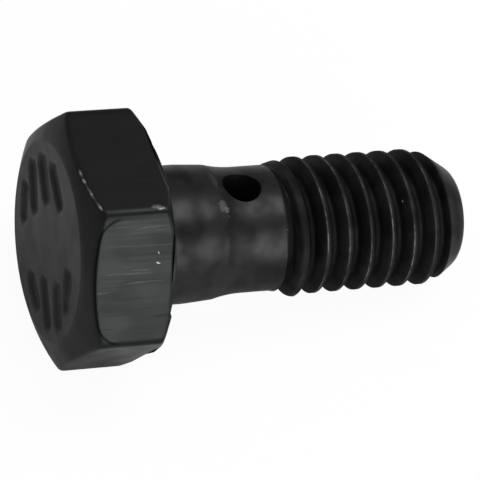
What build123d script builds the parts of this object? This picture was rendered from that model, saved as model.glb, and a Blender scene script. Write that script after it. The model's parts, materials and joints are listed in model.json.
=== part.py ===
from build123d import *
import os
from math import atan2, ceil, cos, radians, sin, sqrt, tan

# Hollow hex bolt for a ring fitting: one forged, drilled and rolled piece of steel.
# Lengths are millimetres and angles are degrees.
# A station is a distance along the bolt from the bearing face, positive towards the tail.

# Hex head
across_flats = 10.0
head_height = 4.0
head_corner_radius = 0.36
face_rim_width = 0.75
face_rim_radius = 0.25
crown_start_angle = 18.0
crown_radius = 5.0
corner_chamfer_diameter = 10.7
corner_chamfer_angle = 30.0
washer_face_diameter = 9.4
washer_face_height = 0.25

# Shank from the head to the thread, as lengths that follow each other
under_head_radius = 0.3
body_diameter = 5.95
body_length = 1.4
neck_end_diameter = 5.74
neck_length = 1.65
blend_length = 1.35
waist_diameter = 5.38
waist_length = 1.35

# Right-hand rolled thread, with its crest and root as shares of the pitch
thread_major_diameter = 5.9
thread_pitch = 1.0
thread_flank_angle = 30.0
crest_share = 0.2
root_share = 0.19
crest_run_in = 0.7
root_run_in = 0.49
crest_phase = 0.63
under_head_length = 14.3
tail_diameter = 4.2
tail_chamfer_length = 1.3

# Drillings
axial_bore_diameter = 3.0
axial_bore_overrun = 0.4
drill_point_angle = 118.0
bore_mouth_chamfer = 0.2
cross_hole_diameter = 1.6
cross_hole_station = 4.12
cross_hole_clocking = -2.0
cross_hole_mouth_chamfer = 0.14

# How far solids run into each other where they are joined, and past each other where they are cut,
# and how many turns the screw has beyond each end of the thread before it is trimmed
overlap = 0.1
spare_turns = 3

# Sizes that follow from the ones above
face_flat_radius = across_flats / 2 - face_rim_width
washer_face_radius = washer_face_diameter / 2
corner_chamfer_radius = corner_chamfer_diameter / 2
neck_end_station = body_length + neck_length
waist_station = neck_end_station + blend_length
thread_start_station = waist_station + waist_length
thread_end_station = under_head_length - tail_chamfer_length
flank_slope = tan(radians(thread_flank_angle))
thread_depth = thread_pitch * (1 - crest_share - root_share) / 2 / flank_slope
major_radius = thread_major_diameter / 2
minor_radius = major_radius - thread_depth
crest_half = thread_pitch * crest_share / 2
flank_width = thread_depth * flank_slope


def turned(outline):
    """Solid of revolution about the bolt's axis, from a closed outline of radius and station."""
    return revolve(Plane.XZ * make_face(outline), Axis.Z)


# Head


def crown_drop(radius):
    """How far the crowned bevel lies below the flat of the face, at a distance from the axis."""
    centre = face_flat_radius - crown_radius * sin(radians(crown_start_angle))
    top = crown_radius * cos(radians(crown_start_angle))
    return top - sqrt(crown_radius**2 - (radius - centre) ** 2)


def underside(radius):
    """Station where the hexagon ends: behind the washer face, and further back at its corners."""
    beyond = max(radius - corner_chamfer_radius, 0)
    return -washer_face_height - beyond * tan(radians(corner_chamfer_angle))


def head():
    """Hexagon with rounded corners, crowned at the face, with a washer face at the other side."""
    hexagon = RegularPolygon(across_flats / 2, 6, major_radius=False, rotation=30)
    prism = Pos(0, 0, -head_height) * extrude(hexagon, head_height)
    prism = fillet(prism.edges().filter_by(Axis.Z), head_corner_radius)

    outside = across_flats / sqrt(3) + overlap
    middle = (face_flat_radius + outside) / 2
    face_edge = (face_flat_radius, -head_height)
    crown_middle = (middle, crown_drop(middle) - head_height)
    crown_edge = (outside, crown_drop(outside) - head_height)
    blank = turned(
        [
            Line((0, -head_height), face_edge),
            ThreePointArc(face_edge, crown_middle, crown_edge),
            Polyline(
                crown_edge,
                (outside, underside(outside)),
                (corner_chamfer_radius, underside(corner_chamfer_radius)),
                (washer_face_radius, -washer_face_height),
                (washer_face_radius, 0),
                (0, 0),
                (0, -head_height),
            ),
        ]
    )
    rim = blank.edges().filter_by(GeomType.CIRCLE).sort_by(Axis.Z)[0]
    return prism & fillet(rim, face_rim_radius)


# Shank


def shank():
    """Body, tapered neck and waist, rooted in the head and ending in a cone inside the thread."""
    body = body_diameter / 2
    neck_end = (neck_end_diameter / 2, neck_end_station)
    waist = waist_diameter / 2
    root = body + under_head_radius
    return turned(
        [
            Polyline((0, -overlap), (root, -overlap), (root, 0)),
            TangentArc((root, 0), (body, under_head_radius), tangent=(-1, 0)),
            Polyline((body, under_head_radius), (body, body_length), neck_end),
            TangentArc((waist, waist_station), neck_end, tangent=(0, -1)),
            Polyline(
                (waist, waist_station),
                (waist, thread_start_station),
                (minor_radius - overlap, thread_start_station + root_run_in),
                (0, thread_start_station + root_run_in),
                (0, -overlap),
            ),
        ]
    )


# Thread


def helix(radius, station, turns):
    """Right-hand helix that starts over local X at a station."""
    return Edge.make_helix(thread_pitch, turns * thread_pitch, radius, center=(0, 0, station))


def ridge_profile(station):
    """Axial section of the thread's ridge, as points of radius and station, about its middle."""
    return [
        (minor_radius, station - crest_half - flank_width),
        (major_radius, station - crest_half),
        (major_radius, station + crest_half),
        (minor_radius, station + crest_half + flank_width),
    ]


def screw(bottom, turns):
    """A plain screw: strips ruled between helices, closed by a helical cap and a step at each end."""
    lower_foot, lower_edge, upper_edge, upper_foot = [
        helix(radius, station, turns) for radius, station in ridge_profile(bottom)
    ]
    lower = ridge_profile(bottom)[0][1]
    upper = ridge_profile(bottom)[-1][1] + (turns - 1) * thread_pitch
    root = (
        helix(minor_radius, upper - (turns - 1) * thread_pitch, turns - 1),
        helix(minor_radius, lower + thread_pitch, turns - 1),
    )
    strips = [
        (lower_foot, lower_edge),
        (lower_edge, upper_edge),
        (upper_edge, upper_foot),
        root,
        (Edge.make_line((0, 0, lower), (0, 0, lower + thread_pitch)), helix(minor_radius, lower, 1)),
        (helix(minor_radius, upper, 1), Edge.make_line((0, 0, upper), (0, 0, upper + thread_pitch))),
    ]
    lower_step = [(0, lower), *ridge_profile(bottom), (minor_radius, lower + thread_pitch)]
    lower_step.append((0, lower + thread_pitch))
    upper_step = [(0, upper), (minor_radius, upper), *ridge_profile(bottom + turns * thread_pitch)]
    upper_step.append((0, upper + thread_pitch))
    faces = [Face.make_surface_from_curves(first, second) for first, second in strips]
    for step in (lower_step, upper_step):
        faces.append((Plane.XZ * make_face(Polyline(*step, close=True))).face())
    return Solid(Shell(faces))


def thread():
    """The screw, tapered in at the waist and out at the tail."""
    waist = waist_diameter / 2
    run_in_slope = (major_radius - waist) / crest_run_in
    tail_slope = (major_radius - tail_diameter / 2) / tail_chamfer_length
    start = thread_start_station - overlap
    clear = major_radius + overlap
    envelope = turned(
        Polyline(
            (0, start),
            (waist - run_in_slope * overlap, start),
            (clear, thread_start_station + crest_run_in + overlap / run_in_slope),
            (clear, thread_end_station - overlap / tail_slope),
            (tail_diameter / 2, under_head_length),
            (0, under_head_length),
            close=True,
        )
    )
    bottom = thread_start_station + crest_phase - spare_turns * thread_pitch
    turns = ceil((under_head_length - bottom) / thread_pitch) + spare_turns
    return screw(bottom, turns) & envelope


# Drillings


def axial_drill():
    """Blind drilling from the tail to just past the cross hole, with the drill's conical point."""
    bore = axial_bore_diameter / 2
    shoulder = cross_hole_station - cross_hole_diameter / 2 - axial_bore_overrun
    point = shoulder - bore / tan(radians(drill_point_angle / 2))
    past = under_head_length + overlap
    return turned(
        Polyline(
            (0, point),
            (bore, shoulder),
            (bore, under_head_length - bore_mouth_chamfer),
            (bore + bore_mouth_chamfer + overlap, past),
            (0, past),
            close=True,
        )
    )


def cross_drill():
    """Drilling through both walls of the waist, eased at each mouth."""
    hole = cross_hole_diameter / 2
    reach = max(body_diameter, neck_end_diameter, waist_diameter) / 2 + overlap
    eased = waist_diameter / 2 - cross_hole_mouth_chamfer
    wide = hole + reach - eased
    drill = turned(
        Polyline(
            (0, -reach),
            (wide, -reach),
            (hole, -eased),
            (hole, eased),
            (wide, reach),
            (0, reach),
            close=True,
        )
    )
    return Pos(0, 0, cross_hole_station) * Rot(0, 0, cross_hole_clocking) * Rot(0, 90, 0) * drill


def upright_bolt():
    """The bolt with its axis along Z, its tail up and the middle of a flat towards X."""
    blank = shank() + thread()
    return blank - axial_drill() - cross_drill() + head()


# Rest position: lying on one flat of the head and on the last full crest of the thread


def resting_plane():
    """Where the bearing face lies at rest: its normal points to the tail, its X to the upper flat."""
    flat_end = underside(across_flats / 2)
    first_crest = thread_start_station + crest_phase + thread_pitch / 2 - crest_half
    turns = int((thread_end_station - first_crest) / thread_pitch)
    contact = min(first_crest + turns * thread_pitch + 2 * crest_half, thread_end_station)
    tilt = atan2(across_flats / 2 - major_radius, contact - flat_end)

    height = across_flats / 2 * cos(tilt) + flat_end * sin(tilt)
    along = Vector(cos(tilt), 0, -sin(tilt))
    above = Vector(sin(tilt), 0, cos(tilt))
    return Plane(origin=(0, 0, height), x_dir=above, z_dir=along)


def lying(bolt):
    """The bolt on the ground with its tail towards X, centred over the origin."""
    placed = resting_plane() * bolt
    return Pos(-placed.bounding_box().center().X, 0, 0) * placed


if __name__ == "__main__":
    os.makedirs("parts", exist_ok=True)
    export_step(lying(upright_bolt()), "parts/banjo_bolt.step")
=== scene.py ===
import json
from math import atan2, cos, pi, radians, sin, sqrt, tan

import bmesh
import bpy
import numpy as np
from mathutils import Euler, Matrix, Vector


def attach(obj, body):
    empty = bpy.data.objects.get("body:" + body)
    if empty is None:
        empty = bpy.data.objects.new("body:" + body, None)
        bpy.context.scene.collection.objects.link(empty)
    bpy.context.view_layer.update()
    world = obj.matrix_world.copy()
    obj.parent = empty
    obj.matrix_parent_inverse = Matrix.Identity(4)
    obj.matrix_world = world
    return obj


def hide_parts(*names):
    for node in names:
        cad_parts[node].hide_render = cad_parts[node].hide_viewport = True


# Hollow hex bolt for a ring fitting, lying on a pale floor.
# Lengths are millimetres unless a name says otherwise, and angles are degrees.
# Along the bolt, a station is a distance from the bearing face, positive towards the tail.
# Round the bolt, an angle runs from the uppermost line towards the camera's side.

MILLIMETRE = 0.001

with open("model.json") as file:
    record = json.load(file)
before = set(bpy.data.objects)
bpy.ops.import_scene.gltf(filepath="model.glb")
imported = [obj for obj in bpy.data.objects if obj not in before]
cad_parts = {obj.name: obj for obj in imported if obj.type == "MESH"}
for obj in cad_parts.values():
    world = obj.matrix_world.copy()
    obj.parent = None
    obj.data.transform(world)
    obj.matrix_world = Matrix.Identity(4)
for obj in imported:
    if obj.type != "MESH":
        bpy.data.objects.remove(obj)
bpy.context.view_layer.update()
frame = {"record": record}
mounts = {mount["name"]: mount for mount in frame["record"]["mounts"]}

# Head
across_flats = 10.0
head_height = 4.0
head_corner_radius = 0.44
face_rim_width = 0.75
face_rim_softness = 0.025
crown_start_angle = 20.0
crown_radius = 9.0
crown_shift = 0.12
crown_shift_angle = -40.0
crown_edge_softness = 0.2
underside_softness = 0.15
corner_chamfer_diameter = 10.5
corner_chamfer_angle = 32.0
underside_shift = 0.06
underside_shift_angle = 110.0
washer_face_diameter = 9.4
washer_face_height = 0.25
washer_face_softness = 0.06

# Shank
under_head_radius = 0.3
body_diameter = 2 * mounts["ring_pilot"]["dims"]["r_mm"]
body_length = 1.4
neck_end_diameter = 5.74
neck_end_station = 3.05
neck_start_softness = 0.02
neck_end_softness = 0.012
neck_overrun = 1.2
waist_station = 4.4
waist_diameter = 5.38
thread_start_station = 5.75

# Thread
thread_major_diameter = 5.9
thread_pitch = 1.0
thread_flank_angle = 30.0
crest_share = 0.2
root_share = 0.19
crest_run_in = 1.05
root_run_in = 0.49
crest_phase = 0.63
thread_softness = 0.035
clearance = 0.2
under_head_length = 14.3
tail_diameter = 4.16
tail_chamfer_length = 1.3
tail_edge_softness = 0.26
tail_shift = 0.11
tail_shift_angle = 150.0

# Metal that the rolling left standing where the thread begins: station, height and half length
burrs = [(6.8, 0.08, 0.2), (7.17, 0.12, 0.15), (8.17, 0.06, 0.15)]
burr_angle = 130.0
burr_spread = 28.0

# Drillings
axial_bore_radius = mounts["axial_port"]["dims"]["r_mm"]
axial_bore_length = mounts["axial_port"]["dims"]["length_mm"]
bore_mouth_chamfer = 0.2
drill_point_angle = 118.0
cross_hole_radius = mounts["cross_port"]["dims"]["r_mm"]
cross_hole_mouth_chamfer = 0.14
cutter_overrun = 0.3
cutter_mouth_slope = 3.0

# Wear: the flat that a wrench rubbed most, the dark line round its rubbed area, which is fainter
# away from the crown, and the dark corners of every flat
rubbed_flat_angle = 60.0
rubbed_inset = 0.08
rubbed_side_inset = 0.3
rubbed_lower_shift = 0.16
rubbed_corner_radius = 0.7
rubbed_edge_softness = 0.06
outline_distance = 0.05
outline_core = 0.02
outline_width = 0.1
outline_fade = (0.4, 1.0)
outline_faded_share = 0.25
dark_corner_width = 0.2

# Wear: the stretch of the crown's edge that is rubbed bright, and the line along the thread's
# crests, a painted highlight that is partly real abrasion
worn_edge_start = 2.0
worn_edge_end = 29.0
worn_edge_width = 0.07
worn_edge_full_share = 0.8
crest_line_offset = 0.03
crest_line_width = 0.045
crest_line_start = 0.5
crest_line_full = 1.9

# Depths under an outer surface where the finish or painted highlight of an area begins and where it
# is full
flats_depths = (0.12, 0.03)
worn_edge_depths = (0.25, 0.15)
crest_depths = (0.3, 0.05)

# Where finishes and painted light and shade change along the bolt: past the bearing face for the
# flats, past the end face for its painted sheen, past the bearing face for the shank, inside both
# ends of the thread for its painted root shade and crest highlight, past the thread's start, and
# before the tail's end
flats_margin = 0.05
face_sheen_depths = (0.03, 0.12)
shank_finish_full = 0.4
thread_line_margin = 0.3
thread_fade_in = (0.1, 0.55)
thread_fade_out = (0.8, 1.1)

# The thread's root: how far over it its painted shade reaches, and how far under it is still thread
root_reach = 0.3
root_tolerance = 0.1

# Noise for the mottling of the oxide and the streaks along the flats: larger numbers are finer
patch_scale = 0.8
chip_scale = 2.6
crest_wear_and_highlight_scale = 0.6
fine_streak_stretch = (0.35, 7.0, 7.0)
broad_streak_stretch = (0.3, 1.6, 1.6)

# Parts of the range of a noise or a mask over which a finish, a painted shade or a painted
# highlight changes
head_patches = (0.2, 0.8)
shank_patches = (0.35, 0.65)
roughness_patches = (0.3, 0.7)
broad_streaks_range = (0.3, 0.7)
scratches_range = (0.6, 0.72)
grooves_range = (0.4, 0.3)
crest_line_wear_and_highlight = (0.35, 0.7)
crest_line_chips = (0.4, 0.62)
worn_edge_chips = (0.4, 0.75)
most_rubbed_range = (0.4, 0.6)
thread_root_range = (0.1, 1.0)

# Brightness of the metal, from 0 to 1: for its darker areas, then for its brighter ones
head_oxide = (0.016, 0.0205)
shank_oxide = (0.013, 0.027)
rubbed_metal = (0.018, 0.025)
scratch_brightness = 0.017
groove_darkness = 0.006
# The crest line's brightness is a painted highlight, partly real abrasion
crest_line_brightness = (0.01, 0.13)
worn_edge_brightness = (0.06, 0.6)

# Brightness of some areas as a share of what it would be
# Painted sheen on the end face
face_sheen_share = 1.35
other_flats_share = 0.2
outline_share = 0.3
corner_share = 0.75
# Painted shade over the thread and in its root
thread_shade_share = 0.75
root_shade_share = 0.5
# The crest line's shares: a painted highlight, partly real abrasion
crest_line_shares = (0.3, 1.15)
red_share_on_rubbed_flat = 0.95

# A painted highlight on the waist: station, angle, radius, half length, half width and brightness
waist_highlight_patch = (4.85, 65.0, 2.72, 1.25, 0.8, 0.016)

# Bare metal spots, and four spots at the neck's crease that paint its highlight with a nick of bare
# metal in it: station, angle, radius, half length, half width and brightness
bare_spots_and_crease_highlight = [
    (-0.93, 48.1, 5.1, 0.07, 0.05, 0.3),
    (-0.95, 52.6, 5.04, 0.12, 0.035, 0.3),
    (-1.05, 28.0, 5.66, 0.3, 0.11, 0.1),
    (-0.85, 29.0, 5.7, 0.16, 0.08, 0.12),
    # These four paint the highlight along the neck's crease, with a nick of bare metal in it
    (2.95, 19.0, 2.86, 0.26, 0.36, 0.038),
    (3.1, 22.5, 2.86, 0.13, 0.2, 0.075),
    (3.14, 28.0, 2.84, 0.08, 0.06, 0.06),
    (2.9, -9.0, 2.87, 0.16, 0.75, 0.05),
    (1.55, 93.2, 2.97, 0.035, 0.035, 0.5),
    (5.77, 43.8, 2.7, 0.05, 0.03, 0.3),
    (11.17, 25.0, 2.66, 0.06, 0.06, 0.6),
]

# The share of a spot that is solid, and the noise that makes its outline ragged
spot_core = 0.55
ragged_scale = 8.0
ragged_reach = 0.22

# How the steel reflects: metallic share, reflection at a slant, and roughness
metallic_share = 0.75
specular_level = 0.2
slant_tint = 0.6
oxide_roughness = (0.4, 0.32)
thread_roughness = 0.6

# Mesh density: columns round the bolt, rings along it, and where rings lie on the drill's cone
columns = 240
rows_per_pitch = 20
hole_segments = 96
face_middle_rings = 5
face_rings = 58
crown_rings = 25
flat_rings = 14
softened_edge_rings = 5
underside_rings = 7
bearing_rings = 5
fillet_rings = 7
tail_rings = 8
bore_rings = 12
drill_point_shares = (0.3, 0.6, 0.85)
shank_ring_spacing = 0.085

# Mesh: where rings start and stop in the middle of the face and start again outside it, how far
# they crowd towards the head's corners, where they start after the radius under the head, where
# rows start to follow the thread and stop following it, how close to those ends they may come, the
# small step between rings at a join and the one that a slope is taken over, and where shading has
# a sharp edge
face_middle_start = 0.2
face_middle_end = 0.9
face_rings_start = 0.95
corner_crowding = 2.2
gap_after_fillet = 0.08
rows_before_thread = 0.25
rows_short_of_end = 0.35
row_margin = 1e-4
join_step = 0.02
slope_step = 0.01
sharp_edge_angle = 42.0

# Camera
camera_along = -51.505
camera_away = 142.470
camera_turn = (0.1674, 1.6315, 4.3369)
view_angle = 40.15
focal_length = 270.03
sensor_width = 36.0

# Plain bars struck into the face. Each has its middle, from the axis towards the camera and up
# the face, then half its length, half its width and its lean.
mark_depth = 0.16
mark_wall = 0.42
marks = [
    (-2.55, 1.85, 0.55, 0.34, 24.0),
    (-1.2, 2.45, 0.75, 0.38, 6.0),
    (0.3, 2.7, 0.6, 0.44, -8.0),
    (1.75, 2.3, 0.7, 0.34, -22.0),
    (-2.2, -1.95, 0.5, 0.38, -26.0),
    (-0.75, -2.5, 0.75, 0.34, -4.0),
    (0.75, -2.65, 0.55, 0.44, 10.0),
    (2.1, -2.05, 0.6, 0.36, 26.0),
]


# Bolt axes in the world

axis_along = Vector(mounts["washer_seat"]["axis"]).normalized()
axis_above = Vector((-axis_along.z, 0, axis_along.x))
axis_side = axis_along.cross(axis_above)
bolt_origin = Vector(mounts["washer_seat"]["pos_m"])
bolt_matrix = Matrix((axis_above, axis_side, axis_along)).transposed().to_4x4()
bolt_matrix.translation = bolt_origin


# Radii along the bolt

flank_slope = tan(radians(thread_flank_angle))
thread_depth = thread_pitch * (1 - crest_share - root_share) / 2 / flank_slope
major_radius = thread_major_diameter / 2
minor_radius = major_radius - thread_depth
waist_radius = waist_diameter / 2
washer_face_radius = washer_face_diameter / 2


def soft_min(a, b, width):
    """The smaller of two values, rounded over where they differ by less than the width."""
    blend = np.clip(0.5 + 0.5 * (b - a) / width, 0, 1)
    return b * (1 - blend) + a * blend - width * blend * (1 - blend) / 2


def soft_max(a, b, width):
    """The larger of two values, rounded over where they differ by less than the width."""
    return -soft_min(-a, -b, width)


def smooth_step(value, low, high):
    """Goes from 0 to 1 as a value goes from low to high."""
    share = np.clip((value - low) / (high - low), 0, 1)
    return share * share * (3 - 2 * share)


def turn_between(angle, degrees):
    """Size of the turn between an angle in radians and one in degrees."""
    return np.abs((angle - radians(degrees) + pi) % (2 * pi) - pi)


def neck_radius(station):
    """Radius of the plain shank between the body's end and the thread."""
    slope = (neck_end_diameter - body_diameter) / 2 / (neck_end_station - body_length)
    cone = body_diameter / 2 + slope * (station - body_length)
    cone = soft_min(body_diameter / 2 + 0 * station, cone, neck_start_softness)
    length = waist_station - neck_end_station
    drop = (neck_end_diameter - waist_diameter) / 2
    bend = (length**2 + drop**2) / 2 / drop
    back = np.clip(waist_station - station, 0, length * neck_overrun)
    blend = waist_radius + bend - np.sqrt(bend**2 - back**2)
    return soft_min(cone, blend, neck_end_softness)


def thread_radius(station, angle):
    """Radius of the thread, with its run-in at the waist and the chamfer of the tail."""
    lead = station - thread_start_station - crest_phase - angle / (2 * pi) * thread_pitch
    across = np.abs((lead / thread_pitch + 0.5) % 1 - 0.5) * thread_pitch
    flank = major_radius - (across - crest_share * thread_pitch / 2) / flank_slope
    start = np.maximum(station - thread_start_station, 0)
    crest_envelope = waist_radius + start * (major_radius - waist_radius) / crest_run_in
    crest_envelope = np.minimum(crest_envelope, major_radius + clearance)
    root_envelope = waist_radius - start * (waist_radius - minor_radius) / root_run_in
    ridge = soft_max(flank, minor_radius + 0 * flank, 2 * thread_softness)
    ridge = soft_min(ridge, major_radius + 0 * flank, thread_softness)
    ridge = soft_min(ridge, crest_envelope, thread_softness)
    ridge = soft_max(ridge, root_envelope, thread_softness)
    round_it = turn_between(angle, burr_angle) / radians(burr_spread)
    for middle, height, half_length in burrs:
        along = (station - middle) / half_length
        ridge = ridge + height * np.exp(-(along**2) - round_it**2)
    tail_slope = (major_radius - tail_diameter / 2) / tail_chamfer_length
    tail = tail_diameter / 2 + (under_head_length - station) * tail_slope
    tail = tail + tail_shift * np.cos(angle - radians(tail_shift_angle))
    return soft_min(ridge, tail, thread_softness)


# Hexagon


def turn_from_flat(angle):
    """Signed turn from the middle of the nearest flat."""
    return (angle + pi / 6) % (pi / 3) - pi / 6


def hexagon_radius(angle):
    """Distance from the axis to the side of the hexagon with rounded corners."""
    from_flat = turn_from_flat(angle)
    from_corner = pi / 6 - np.abs(from_flat)
    flat = across_flats / 2 / np.cos(from_flat)
    corner_centre = (across_flats / 2 - head_corner_radius) / cos(pi / 6)
    reach = head_corner_radius**2 - (corner_centre * np.sin(from_corner)) ** 2
    rounded = corner_centre * np.cos(from_corner) + np.sqrt(np.maximum(reach, 0))
    edge = atan2(head_corner_radius / 2, corner_centre + head_corner_radius * cos(pi / 6))
    return np.where(from_corner < edge, rounded, flat)


def shifted_radius(radius, angle, shift, direction):
    """Distance from a line beside the axis, off it in a direction where less is trimmed away."""
    across = radius * np.cos(angle - radians(direction))
    return np.sqrt(radius**2 + shift**2 - 2 * shift * across)


def face_station(radius, angle):
    """Station of the face and of the crowned bevel round it."""
    centre = across_flats / 2 - face_rim_width - crown_radius * sin(radians(crown_start_angle))
    top = crown_radius * cos(radians(crown_start_angle))
    distance = shifted_radius(radius, angle, crown_shift, crown_shift_angle)
    distance = np.maximum(distance, centre)
    drop = top - np.sqrt(crown_radius**2 - (distance - centre) ** 2)
    return soft_max(0 * drop, drop, face_rim_softness) - head_height


def underside_station(radius, angle):
    """Station where the hexagon ends: behind the washer face, and further back at its corners."""
    distance = shifted_radius(radius, angle, underside_shift, underside_shift_angle)
    beyond = np.maximum(distance - corner_chamfer_diameter / 2, 0)
    return -washer_face_height - beyond * tan(radians(corner_chamfer_angle))


def struck_depth(radius, angle):
    """How deep the marks are struck into the face."""
    towards = radius * np.cos(angle - radians(view_angle))
    upward = radius * np.cos(angle - radians(view_angle - 90))
    depth = 0 * angle
    for middle_towards, middle_up, half_length, half_width, lean in marks:
        across = towards - middle_towards
        rise = upward - middle_up
        length = across * sin(radians(lean)) + rise * cos(radians(lean))
        width = across * cos(radians(lean)) - rise * sin(radians(lean))
        past_end = np.maximum(np.abs(length) - half_length, 0)
        distance = np.sqrt(width**2 + past_end**2)
        wall = smooth_step(distance, half_width + mark_wall / 2, half_width - mark_wall / 2)
        depth = np.maximum(depth, mark_depth * wall)
    return depth


# Mesh

even_angles = np.arange(columns) * 2 * pi / columns


def corner_angles():
    """Angles round the head, closest together at its corners."""
    step = np.arange(columns) % (columns // 6) / (columns // 6)
    side = np.arange(columns) // (columns // 6)
    away = np.abs(step - 0.5) * 2
    offset = np.sign(step - 0.5) * (1 - (1 - away) ** corner_crowding) / 2 + 0.5
    offset[step == 0.5] = 0.5
    return (side + offset - 0.5) * pi / 3


sharp_angles = corner_angles()
helix_start = thread_start_station - rows_before_thread
helix_end = under_head_length - rows_short_of_end
face_rings_end = across_flats / 2 - face_rim_width - clearance


class Lathe:
    """Collects rings of points from the face's centre round to the bottom of the bore."""

    def __init__(self):
        self.points = []
        self.faces = []
        self.ring = None

    def add_points(self, radius, station, angle):
        """Places points given in the bolt's own terms, and gives their numbers."""
        first = sum(len(block) for block in self.points)
        block = np.stack(
            [radius * np.cos(angle), radius * np.sin(angle), station + 0 * radius], axis=-1
        )
        self.points.append(block.reshape(-1, 3))
        return np.arange(first, first + block.size // 3).reshape(block.shape[:-1])

    def add_tip(self, station):
        """A point on the axis, joined to the ring before or after it."""
        tip = self.add_points(np.zeros(1), np.array([station]), np.zeros(1))[0]
        if self.ring is not None:
            for column in range(columns):
                self.faces.append((self.ring[column], self.ring[(column + 1) % columns], tip))
        self.ring = None
        self.tip = tip

    def add_ring(self, radius, station, angle=even_angles):
        """A ring of points, joined to the tip or ring before it."""
        radius = radius + 0 * angle
        ring = self.add_points(radius, station + 0 * angle, angle)
        if self.ring is None:
            for column in range(columns):
                self.faces.append((self.tip, ring[(column + 1) % columns], ring[column]))
        else:
            self.join(self.ring, ring)
        self.ring = ring

    def join(self, before, after):
        """Faces between two rings."""
        for column in range(columns):
            beside = (column + 1) % columns
            self.faces.append((before[column], before[beside], after[beside], after[column]))

    def add_helical_rows(self, start, end, radius_at):
        """Rows that run along the thread, clipped to level rings at both ends."""
        phases = np.arange(rows_per_pitch) / rows_per_pitch
        turns = int((end - start) / thread_pitch) + 2
        lead = even_angles / (2 * pi) * thread_pitch
        first = self.add_points(radius_at(start + 0 * lead, even_angles), start, even_angles)
        last = self.add_points(radius_at(end + 0 * lead, even_angles), end, even_angles)
        self.join(self.ring, first)
        rows = []
        for turn in range(-1, turns):
            for phase in phases:
                station = start + (turn + phase) * thread_pitch + lead
                past_start = station > start + row_margin
                row = np.where(past_start, last, first)
                inside = past_start & (station < end - row_margin)
                angle = even_angles[inside]
                row[inside] = self.add_points(
                    radius_at(station[inside], angle), station[inside], angle
                )
                rows.append(row)
        for row, (before, after) in enumerate(zip(rows, rows[1:])):
            wrapped_before = rows[min(row + rows_per_pitch, len(rows) - 1)]
            wrapped_after = rows[min(row + 1 + rows_per_pitch, len(rows) - 1)]
            for column in range(columns):
                if column < columns - 1:
                    right, right_after = before[column + 1], after[column + 1]
                else:
                    right, right_after = wrapped_before[0], wrapped_after[0]
                corners = tuple(dict.fromkeys((before[column], right, right_after, after[column])))
                if len(corners) > 2:
                    self.faces.append(corners)
        self.ring = last

    def to_mesh(self, name):
        mesh = bpy.data.meshes.new(name)
        points = np.concatenate(self.points) * MILLIMETRE
        faces = [tuple(int(i) for i in face) for face in self.faces]
        mesh.from_pydata(points.tolist(), [], faces)
        mesh.transform(bolt_matrix)
        mesh.validate()
        return mesh


def add_face(lathe):
    """End face with its marks, out to where the crowned bevel begins."""
    lathe.add_tip(-head_height)
    for radius in np.linspace(face_middle_start, face_middle_end, face_middle_rings):
        lathe.add_ring(radius, -head_height)
    for radius in np.linspace(face_rings_start, face_rings_end, face_rings):
        station = face_station(radius + 0 * even_angles, even_angles)
        lathe.add_ring(radius, station + struck_depth(radius, even_angles))


def soften(corner, before, after, size):
    """Points of a small arc that replaces a corner between two directions."""
    result = []
    for step in range(softened_edge_rings):
        share = step / (softened_edge_rings - 1)
        start = corner + before * size
        end = corner + after * size
        result.append(start * (1 - share) ** 2 + corner * 2 * share * (1 - share) + end * share**2)
    return result


def add_head_side(lathe):
    """Crowned bevel and flats, with the softened edges at both ends of the flats."""
    side = hexagon_radius(sharp_angles)
    top = face_station(side, sharp_angles)
    slope = (top - face_station(side - slope_step, sharp_angles)) / slope_step
    length = np.sqrt(1 + slope**2)

    inner = side - crown_edge_softness / length
    for share in np.linspace(0, 1, crown_rings)[1:]:
        radius = face_rings_end * (1 - share) + inner * share
        turn = smooth_step(share, 0, 1)
        angle = even_angles * (1 - turn) + sharp_angles * turn
        lathe.add_ring(radius, face_station(radius, angle) + struck_depth(radius, angle), angle)

    corner = np.stack([side, top], axis=-1)
    inward = np.stack([-1 / length, -slope / length], axis=-1)
    along = np.stack([0 * side, 1 + 0 * side], axis=-1)
    for point in soften(corner, inward, along, crown_edge_softness)[1:]:
        lathe.add_ring(point[:, 0], point[:, 1], sharp_angles)

    bottom = underside_station(side, sharp_angles)
    for share in np.linspace(0, 1, flat_rings)[1:]:
        station = (top + crown_edge_softness) * (1 - share) + (bottom - underside_softness) * share
        lathe.add_ring(side, station, sharp_angles)

    slope = (bottom - underside_station(side - slope_step, sharp_angles)) / slope_step
    length = np.sqrt(1 + slope**2)
    corner = np.stack([side, bottom], axis=-1)
    inward = np.stack([-1 / length, -slope / length], axis=-1)
    for point in soften(corner, -along, inward, underside_softness)[1:]:
        lathe.add_ring(point[:, 0], point[:, 1], sharp_angles)


def add_shank(lathe):
    """Underside of the hexagon, washer face, radius under the head, body, neck and waist."""
    side = hexagon_radius(sharp_angles) - underside_softness
    for share in np.linspace(0, 1, underside_rings)[1:]:
        radius = side * (1 - share) + (washer_face_radius + join_step) * share
        turn = smooth_step(share, 0, 1)
        angle = sharp_angles * (1 - turn) + even_angles * turn
        lathe.add_ring(radius, underside_station(radius, angle), angle)
    lathe.add_ring(washer_face_radius, join_step - washer_face_height)
    corner = np.array([washer_face_radius, 0.0])
    before = np.array([0.0, -1.0])
    after = np.array([-1.0, 0.0])
    for radius, station in soften(corner, before, after, washer_face_softness):
        lathe.add_ring(radius, station)
    root = body_diameter / 2 + under_head_radius
    edge = washer_face_radius - washer_face_softness
    for radius in np.linspace(edge, root, bearing_rings)[1:]:
        lathe.add_ring(radius, 0.0)
    for step in range(1, fillet_rings + 1):
        turn = pi / 2 * step / fillet_rings
        radius = root - under_head_radius * sin(turn)
        lathe.add_ring(radius, under_head_radius * (1 - cos(turn)))
    start = under_head_radius + gap_after_fillet
    for station in np.arange(start, helix_start, shank_ring_spacing):
        lathe.add_ring(neck_radius(station + 0 * even_angles), station)


def add_thread(lathe):
    """Rows that follow the thread from just before it to just short of the tail."""
    lathe.add_helical_rows(helix_start, helix_end, thread_radius)


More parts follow.
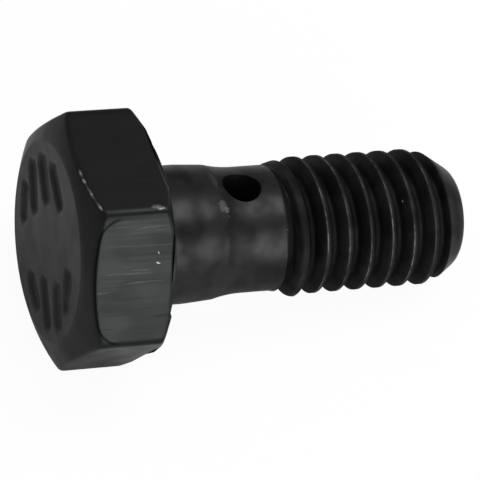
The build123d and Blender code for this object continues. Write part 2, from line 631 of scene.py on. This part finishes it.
def add_tail(lathe):
    """End of the tail, its bore and the point that the drill left."""
    edge = under_head_length - tail_edge_softness
    for station in np.linspace(helix_end, edge, tail_rings)[1:]:
        lathe.add_ring(thread_radius(station + 0 * even_angles, even_angles), station)
    rim = thread_radius(under_head_length + 0 * even_angles, even_angles)
    tail_slope = (major_radius - tail_diameter / 2) / tail_chamfer_length
    end = under_head_length + 0 * rim
    corner = np.stack([rim, end], axis=-1)
    before = np.stack([tail_slope + 0 * rim, -1.0 + 0 * rim], axis=-1)
    after = np.stack([-1.0 + 0 * rim, 0 * rim], axis=-1)
    for point in soften(corner, before, after, tail_edge_softness)[1:]:
        lathe.add_ring(point[:, 0], point[:, 1])
    mouth = axial_bore_radius + bore_mouth_chamfer
    lathe.add_ring(mouth + 1.5 * join_step, under_head_length)
    lathe.add_ring(mouth - join_step, under_head_length - join_step)
    wall_end = under_head_length - bore_mouth_chamfer
    lathe.add_ring(axial_bore_radius + join_step / 2, wall_end + join_step / 2)
    shoulder = wall_end - axial_bore_length
    for station in np.linspace(wall_end - join_step, shoulder, bore_rings):
        lathe.add_ring(axial_bore_radius, station)
    depth = axial_bore_radius / tan(radians(drill_point_angle / 2))
    for share in drill_point_shares:
        lathe.add_ring(axial_bore_radius * (1 - share), shoulder - depth * share)
    lathe.add_tip(shoulder - depth)


def cross_cutter():
    """Drill that leaves the cross hole, eased at both mouths."""
    position = Vector(mounts["cross_port"]["pos_m"])
    direction = Vector(mounts["cross_port"]["axis"]).normalized()
    reach = body_diameter / 2 + cutter_overrun
    eased = waist_radius - cross_hole_mouth_chamfer
    wide = cross_hole_radius + (reach - eased) / cutter_mouth_slope
    profile = [
        (wide, -reach),
        (cross_hole_radius, -eased),
        (cross_hole_radius, eased),
        (wide, reach),
    ]
    cutter = bmesh.new()
    rings = []
    for radius, height in profile:
        ring = []
        for step in range(hole_segments):
            turn = 2 * pi * step / hole_segments
            ring.append(cutter.verts.new((radius * cos(turn), radius * sin(turn), height)))
        rings.append(ring)
    for lower, upper in zip(rings, rings[1:]):
        for step in range(hole_segments):
            beside = (step + 1) % hole_segments
            cutter.faces.new((lower[step], lower[beside], upper[beside], upper[step]))
    cutter.faces.new(list(reversed(rings[0])))
    cutter.faces.new(rings[-1])
    cutter.transform(Matrix.Scale(MILLIMETRE, 4))
    mesh = bpy.data.meshes.new("cross_cutter")
    cutter.to_mesh(mesh)
    cutter.free()
    turn = direction.to_track_quat("Z", "Y").to_matrix().to_4x4()
    mesh.transform(Matrix.Translation(position) @ turn)
    piece = bpy.data.objects.new("cross_cutter", mesh)
    bpy.context.scene.collection.objects.link(piece)
    return piece


def bolt_coordinates(mesh):
    """Station, radius and angle of every vertex."""
    points = np.empty(len(mesh.vertices) * 3)
    mesh.vertices.foreach_get("co", points)
    points = (points.reshape(-1, 3) - np.array(bolt_origin)) / MILLIMETRE
    station, above, side = (points @ np.array(axis) for axis in (axis_along, axis_above, axis_side))
    return station, np.hypot(above, side), np.arctan2(side, above)


def add_measure(mesh, name, values):
    """Keeps a number on every vertex, for the material to read."""
    measure = mesh.attributes.new(name, "FLOAT", "POINT")
    measure.data.foreach_set("value", np.asarray(values, dtype=np.float32))


def under_surface(radius, outside, depths):
    """Goes from 0 to 1 between two depths under an outer radius."""
    begins, full = depths
    return smooth_step(radius, outside - begins, outside - full)


def add_measures(mesh):
    """What the material needs to know of every vertex: distances in mm, and masks from 0 to 1."""
    station, radius, angle = bolt_coordinates(mesh)
    side = hexagon_radius(angle)
    on_side = under_surface(radius, side, flats_depths) * (station < flats_margin)
    add_measure(mesh, "on_flats", on_side)
    most = turn_between(angle, rubbed_flat_angle) < pi / 6
    add_measure(mesh, "most_rubbed", on_side * most)
    add_measure(mesh, "from_crown", station - face_station(side, angle))
    from_flat = turn_from_flat(angle)
    from_corner = (pi / 6 - np.abs(from_flat)) * side
    add_measure(mesh, "from_corner", from_corner + np.where(from_flat > 0, rubbed_lower_shift, 0))
    ends = radians(worn_edge_end - worn_edge_start) / 2
    away = turn_between(angle, (worn_edge_start + worn_edge_end) / 2)
    near_side = under_surface(radius, side, worn_edge_depths)
    within = smooth_step(away, ends, worn_edge_full_share * ends)
    add_measure(mesh, "worn_edge", near_side * within)

    turn = (station - thread_start_station - crest_phase) / thread_pitch - angle / (2 * pi)
    across = ((turn + 0.5) % 1 - 0.5) * thread_pitch
    on_thread = station > thread_start_station + thread_line_margin
    on_thread = on_thread & (station < under_head_length - thread_line_margin)
    on_thread = on_thread & (radius > minor_radius - root_tolerance)
    # Where the painted root shade lies
    depth = smooth_step(radius, minor_radius + root_reach, minor_radius)
    add_measure(mesh, "thread_root", depth * on_thread)
    add_measure(mesh, "from_crest_line", across + crest_line_offset)
    # Where the painted highlight along the crests lies, growing in past the thread's start
    outermost = under_surface(radius, major_radius, crest_depths)
    crest_line_begins = thread_start_station + crest_line_start
    crest_line_grows = smooth_step(station, crest_line_begins, thread_start_station + crest_line_full)
    add_measure(mesh, "near_crest", outermost * crest_line_grows * on_thread)
    fades_in = smooth_step(station, *(thread_start_station + past for past in thread_fade_in))
    fades_out = smooth_step(station, *(under_head_length - short for short in thread_fade_out))
    add_measure(mesh, "on_thread", fades_in * fades_out)


def bolt_piece():
    """The whole bolt, with its cross hole drilled and what its finish needs kept on it."""
    lathe = Lathe()
    add_face(lathe)
    add_head_side(lathe)
    add_shank(lathe)
    add_thread(lathe)
    add_tail(lathe)
    piece = bpy.data.objects.new("hollow_bolt", lathe.to_mesh("hollow_bolt"))
    bpy.context.scene.collection.objects.link(piece)

    cutter = cross_cutter()
    cut = piece.modifiers.new("cross_hole", "BOOLEAN")
    cut.operation = "DIFFERENCE"
    cut.solver = "EXACT"
    cut.object = cutter
    bpy.context.view_layer.update()
    drilled = bpy.data.meshes.new_from_object(
        piece.evaluated_get(bpy.context.evaluated_depsgraph_get())
    )
    piece.modifiers.clear()
    piece.data = drilled
    bpy.data.objects.remove(cutter)
    drilled.shade_smooth()
    drilled.set_sharp_from_angle(angle=radians(sharp_edge_angle))
    add_measures(drilled)
    return piece


bolt = bolt_piece()
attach(bolt, "root")
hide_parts("banjo_bolt")


# Finish


class Tree:
    """Builds a material's nodes."""

    def __init__(self, material):
        material.use_nodes = True
        self.nodes = material.node_tree.nodes
        self.links = material.node_tree.links

    def add(self, kind, inputs, **settings):
        """A node with its settings, and inputs that are values or other nodes' outputs."""
        node = self.nodes.new(kind)
        for name, value in settings.items():
            setattr(node, name, value)
        for name, value in inputs.items():
            if isinstance(value, bpy.types.NodeSocket):
                self.links.new(value, node.inputs[name])
            else:
                node.inputs[name].default_value = value
        return node

    def math(self, operation, first, second=0.0):
        node = self.add("ShaderNodeMath", {0: first, 1: second}, operation=operation)
        return node.outputs[0]

    def times(self, first, second):
        return self.math("MULTIPLY", first, second)

    def vector_math(self, operation, first, second):
        return self.add("ShaderNodeVectorMath", {0: first, 1: second}, operation=operation)

    def step(self, value, low, high, start=0.0, end=1.0):
        """Goes smoothly from start to end as a value goes from low to high."""
        inputs = {"Value": value, "From Min": low, "From Max": high, "To Min": start, "To Max": end}
        node = self.add("ShaderNodeMapRange", inputs, interpolation_type="SMOOTHSTEP")
        return node.outputs["Result"]

    def measure(self, name):
        return self.add("ShaderNodeAttribute", {}, attribute_name=name).outputs["Fac"]

    def mix(self, share, first, second):
        return self.add("ShaderNodeMix", {"Factor": share, "A": first, "B": second}).outputs[0]

    def noise(self, place, stretch, scale, detail=2.0):
        """Noise with its own stretch along the bolt, to its side and up."""
        stretched = self.vector_math("MULTIPLY", place, stretch).outputs["Vector"]
        inputs = {"Vector": stretched, "Scale": scale, "Detail": detail}
        return self.add("ShaderNodeTexNoise", inputs).outputs[0]


def bolt_place(tree):
    """Place in millimetres: along the bolt, to the world's Y and above the bolt's axis."""
    tilt = atan2(-axis_along.z, axis_along.x)
    turn = Euler((0, -tilt, 0))
    location = turn.to_matrix() @ (bolt_origin / MILLIMETRE) * -1
    inputs = {
        "Vector": tree.add("ShaderNodeTexCoord", {}).outputs["Object"],
        "Location": location,
        "Rotation": turn,
        "Scale": (1 / MILLIMETRE,) * 3,
    }
    return tree.add("ShaderNodeMapping", inputs, vector_type="POINT").outputs["Vector"]


def surface_place(station, angle, radius):
    """The same kind of place for a point given in the bolt's own terms."""
    return (station, -radius * sin(radians(angle)), radius * cos(radians(angle)))


def spot(tree, place, middle, half_length, half_width, core):
    """A mask over a spot that is longer along the bolt or across it, and fades beyond its core."""
    away = tree.vector_math("SUBTRACT", place, middle).outputs["Vector"]
    scaled = (1 / half_length, 1 / half_width, 1 / half_width)
    scaled = tree.vector_math("MULTIPLY", away, scaled).outputs["Vector"]
    distance = tree.vector_math("LENGTH", scaled, (0, 0, 0)).outputs["Value"]
    return tree.step(distance, core, 1.0, 1.0, 0.0)


def bare_metal_and_crease_highlight(tree, place):
    """How bright the bare spots and the painted highlight at the neck's crease are, and nothing
    elsewhere.
    """
    inputs = {"Vector": place, "Scale": ragged_scale}
    ragged = tree.add("ShaderNodeTexNoise", inputs).outputs["Color"]
    ragged = tree.vector_math("SUBTRACT", ragged, (0.5, 0.5, 0.5)).outputs["Vector"]
    ragged = tree.vector_math("MULTIPLY", ragged, (ragged_reach,) * 3).outputs["Vector"]
    place = tree.vector_math("ADD", place, ragged).outputs["Vector"]
    total = 0.0
    # Bare spots, and the painted highlight at the neck's crease
    for station, angle, radius, half_length, half_width, brightness in bare_spots_and_crease_highlight:
        middle = surface_place(station, angle, radius)
        mask = spot(tree, place, middle, half_length, half_width, spot_core)
        total = tree.math("MAXIMUM", tree.times(mask, brightness), total)
    return total


def rubbed_distance(tree):
    """Distance inside the outline of the rubbed area on a flat, which has rounded corners."""
    shortfalls = []
    for name, inset in (("from_crown", rubbed_inset), ("from_corner", rubbed_side_inset)):
        short = tree.math("SUBTRACT", rubbed_corner_radius + inset, tree.measure(name))
        shortfalls.append(tree.math("POWER", tree.math("MAXIMUM", short, 0.0), 2.0))
    short = tree.math("SQRT", tree.math("ADD", *shortfalls))
    return tree.math("SUBTRACT", rubbed_corner_radius, short)


def oxide(tree, place, patches):
    """Brightness of the black oxide, stained along the shank, with a painted sheen on the face and
    a painted highlight on the waist.
    """
    along = tree.add("ShaderNodeSeparateXYZ", {"Vector": place}).outputs["X"]
    on_head = tree.step(patches, *head_patches, *head_oxide)
    # Painted sheen on the end face
    start, end = (depth - head_height for depth in face_sheen_depths)
    face_sheen = tree.step(along, start, end, face_sheen_share, 1.0)
    on_head = tree.times(on_head, face_sheen)
    # Painted highlight on the waist
    station, angle, radius, half_length, half_width, brightness = waist_highlight_patch
    middle = surface_place(station, angle, radius)
    pale = spot(tree, place, middle, half_length, half_width, 0.0)
    on_shank = tree.step(patches, *shank_patches, *shank_oxide)
    on_shank = tree.math("ADD", on_shank, tree.times(pale, brightness))
    return tree.mix(tree.step(along, 0.0, shank_finish_full), on_head, on_shank)


def rubbed_steel(tree, place):
    """Brightness of the rubbed flats, with light scratches and dark grooves along the bolt."""
    fine_streaks = tree.noise(place, fine_streak_stretch, 1.0, 3.0)
    broad_streaks = tree.noise(place, broad_streak_stretch, 1.0)
    level = tree.step(broad_streaks, *broad_streaks_range, *rubbed_metal)
    scratches = tree.step(fine_streaks, *scratches_range, 0.0, scratch_brightness)
    grooves = tree.step(fine_streaks, *grooves_range, 0.0, groove_darkness)
    return tree.math("SUBTRACT", tree.math("ADD", level, scratches), grooves)


def with_rubbed_flats(tree, level, rubbed_level):
    """Rubs the flats: one of them strongly, with a dark line round it, and the others a little."""
    inside = rubbed_distance(tree)
    most_rubbed = tree.measure("most_rubbed")
    on_flats = tree.measure("on_flats")
    rubbed = tree.step(most_rubbed, *most_rubbed_range, other_flats_share, 1.0)
    rubbed = tree.times(on_flats, rubbed)
    rubbed = tree.times(rubbed, tree.step(inside, 0.0, rubbed_edge_softness))
    level = tree.mix(rubbed, level, rubbed_level)
    outline = tree.math("ABSOLUTE", tree.math("ADD", inside, outline_distance))
    outline = tree.step(outline, outline_core, outline_width, 1.0, 0.0)
    outline = tree.times(most_rubbed, outline)
    fade = tree.step(tree.measure("from_crown"), *outline_fade, 1.0, outline_faded_share)
    outline = tree.times(outline, fade)
    level = tree.times(level, tree.step(outline, 0.0, 1.0, 1.0, outline_share))
    corner = tree.measure("from_corner")
    corner = tree.step(corner, rubbed_side_inset, dark_corner_width, 0.0, 1 - corner_share)
    return tree.times(level, tree.math("SUBTRACT", 1.0, tree.times(corner, on_flats)))


def with_thread(tree, level, crest_wear_and_highlight, chips):
    """Paints shade over the thread, deepest at its root, and adds the broken light line along its
    crests, a painted highlight that is partly real abrasion.
    """
    # Painted shade over the thread, deepest in its root
    level = tree.times(level, tree.step(tree.measure("on_thread"), 0.0, 1.0, 1.0, thread_shade_share))
    root = tree.step(tree.measure("thread_root"), *thread_root_range, 1.0, root_shade_share)
    level = tree.times(level, root)
    # Painted highlight along the crests, partly real abrasion
    line = tree.math("ABSOLUTE", tree.measure("from_crest_line"))
    line = tree.step(line, 0.0, crest_line_width, 1.0, 0.0)
    line = tree.times(line, tree.measure("near_crest"))
    line = tree.times(line, tree.step(crest_wear_and_highlight, *crest_line_wear_and_highlight, *crest_line_brightness))
    line = tree.times(line, tree.step(chips, *crest_line_chips, *crest_line_shares))
    return tree.math("ADD", level, line)


def worn_edge(tree, chips):
    """Brightness of the chipped stretch of the crown's edge, and nothing elsewhere."""
    edge = tree.math("ABSOLUTE", tree.measure("from_crown"))
    edge = tree.step(edge, 0.0, worn_edge_width, 1.0, 0.0)
    edge = tree.times(edge, tree.measure("worn_edge"))
    return tree.times(edge, tree.step(chips, *worn_edge_chips, *worn_edge_brightness))


def steel():
    """Black oxide that is rubbed on the flats and chipped at the edges, with a painted sheen on the
    face, painted highlights on the waist, the neck's crease and the thread's crests, and painted
    shade over the thread.
    """
    material = bpy.data.materials.new("black_oxide_steel")
    tree = Tree(material)
    shader = tree.nodes["Principled BSDF"]
    shader.inputs["Metallic"].default_value = metallic_share
    shader.inputs["Specular IOR Level"].default_value = specular_level
    shader.inputs["Specular Tint"].default_value = (slant_tint, slant_tint, slant_tint, 1)

    place = bolt_place(tree)
    patches = tree.noise(place, (1.0, 1.0, 1.0), patch_scale)
    chips = tree.noise(place, (1.0, 1.0, 1.0), chip_scale, 4.0)
    # Noise for the painted crest highlight, partly real abrasion
    crest_wear_and_highlight = tree.noise(place, (1.0, 1.0, 1.0), crest_wear_and_highlight_scale)
    level = oxide(tree, place, patches)
    level = with_rubbed_flats(tree, level, rubbed_steel(tree, place))
    level = with_thread(tree, level, crest_wear_and_highlight, chips)
    level = tree.math("MAXIMUM", level, worn_edge(tree, chips))
    level = tree.math("MAXIMUM", level, bare_metal_and_crease_highlight(tree, place))

    less_red = tree.step(tree.measure("most_rubbed"), 0.0, 1.0, 1.0, red_share_on_rubbed_flat)
    inputs = {0: tree.times(level, less_red), 1: level, 2: level}
    colour = tree.add("ShaderNodeCombineColor", inputs).outputs[0]
    tree.links.new(colour, shader.inputs["Base Color"])
    roughness = tree.step(patches, *roughness_patches, *oxide_roughness)
    roughness = tree.mix(tree.measure("on_thread"), roughness, thread_roughness)
    tree.links.new(roughness, shader.inputs["Roughness"])
    return material


bolt.data.materials.clear()
bolt.data.materials.append(steel())


# Floor, lights and camera

studio_level = 0.45
floor_size_in_metres = 3.0
floor_shade = 0.95
floor_roughness = 0.95
floor_white_share = 0.95
floor_gloss_share = 0.05
clip_start_in_metres = 0.001

# Lights: angle, lean towards the tail, distance, length, width and brightness
overhead_light = (1, 15, 160, 130, 74, 4.4)
front_light = (73, 15, 170, 140, 117, 3.6)


def floor():
    """A pale floor that shows white, with the bolt's soft shadow on it."""
    bpy.ops.mesh.primitive_plane_add(size=floor_size_in_metres, location=(0, 0, 0))
    plane = bpy.context.object
    plane.name = "floor"
    material = bpy.data.materials.new("pale_floor")
    tree = Tree(material)
    surface = tree.nodes["Principled BSDF"]
    surface.inputs["Base Color"].default_value = (floor_shade, floor_shade, floor_shade, 1)
    surface.inputs["Roughness"].default_value = floor_roughness
    white = tree.add("ShaderNodeEmission", {"Color": (1, 1, 1, 1), "Strength": 1.0})
    rays = tree.add("ShaderNodeLightPath", {})
    other = tree.math("MAXIMUM", rays.outputs["Is Glossy Ray"], rays.outputs["Is Transmission Ray"])
    share = tree.times(other, floor_gloss_share)
    seen = tree.times(rays.outputs["Is Camera Ray"], floor_white_share)
    share = tree.math("ADD", share, seen)
    inputs = {0: share, 1: surface.outputs[0], 2: white.outputs[0]}
    mixed = tree.add("ShaderNodeMixShader", inputs)
    tree.links.new(mixed.outputs[0], tree.nodes["Material Output"].inputs["Surface"])
    plane.data.materials.append(material)


def world_light():
    """Even light from all round."""
    world = bpy.data.worlds.new("studio")
    bpy.context.scene.world = world
    world.use_nodes = True
    background = world.node_tree.nodes["Background"]
    background.inputs["Color"].default_value = (1, 1, 1, 1)
    background.inputs["Strength"].default_value = studio_level


def softbox(name, angle, lean, distance, along, across, brightness):
    """A soft light that faces the bolt from an angle round it, leaning towards the tail."""
    turn = radians(angle)
    away = axis_above * cos(turn) + axis_side * sin(turn)
    away = (away * cos(radians(lean)) + axis_along * sin(radians(lean))).normalized()
    light = bpy.data.lights.new(name, "AREA")
    light.shape = "RECTANGLE"
    light.size = along * MILLIMETRE
    light.size_y = across * MILLIMETRE
    light.energy = brightness * pi * light.size * light.size_y
    lamp = bpy.data.objects.new(name, light)
    bpy.context.scene.collection.objects.link(lamp)
    lamp.location = bolt_origin + away * distance * MILLIMETRE
    level = (axis_along - away * axis_along.dot(away)).normalized()
    lamp.rotation_euler = Matrix((level, away.cross(level), away)).transposed().to_euler()


def camera():
    """Camera placed in the bolt's own axes, aimed at the bearing face, then turned slightly."""
    turn = radians(view_angle)
    towards = axis_above * cos(turn) + axis_side * sin(turn)
    upward = axis_along.cross(towards) * -1
    to_bolt = Matrix((axis_along, upward, towards))
    place = Vector((camera_along, 0, camera_away))
    back = place.normalized()
    right = Vector((0, 1, 0)).cross(back).normalized()
    up = back.cross(right)
    facing = Matrix((right, up, back))
    trimmed = Euler([radians(value) for value in camera_turn], "XYZ").to_matrix() @ facing
    rotation = (trimmed @ to_bolt).transposed()
    data = bpy.data.cameras.new("camera")
    data.sensor_width = sensor_width
    data.lens = focal_length
    data.clip_start = clip_start_in_metres
    view = bpy.data.objects.new("camera", data)
    bpy.context.scene.collection.objects.link(view)
    view.matrix_world = rotation.to_4x4()
    view.location = bolt_origin + to_bolt.transposed() @ place * MILLIMETRE
    bpy.context.scene.camera = view


floor()
world_light()
softbox("overhead", *overhead_light)
softbox("front", *front_light)
camera()
bpy.context.scene.view_settings.view_transform = "Standard"
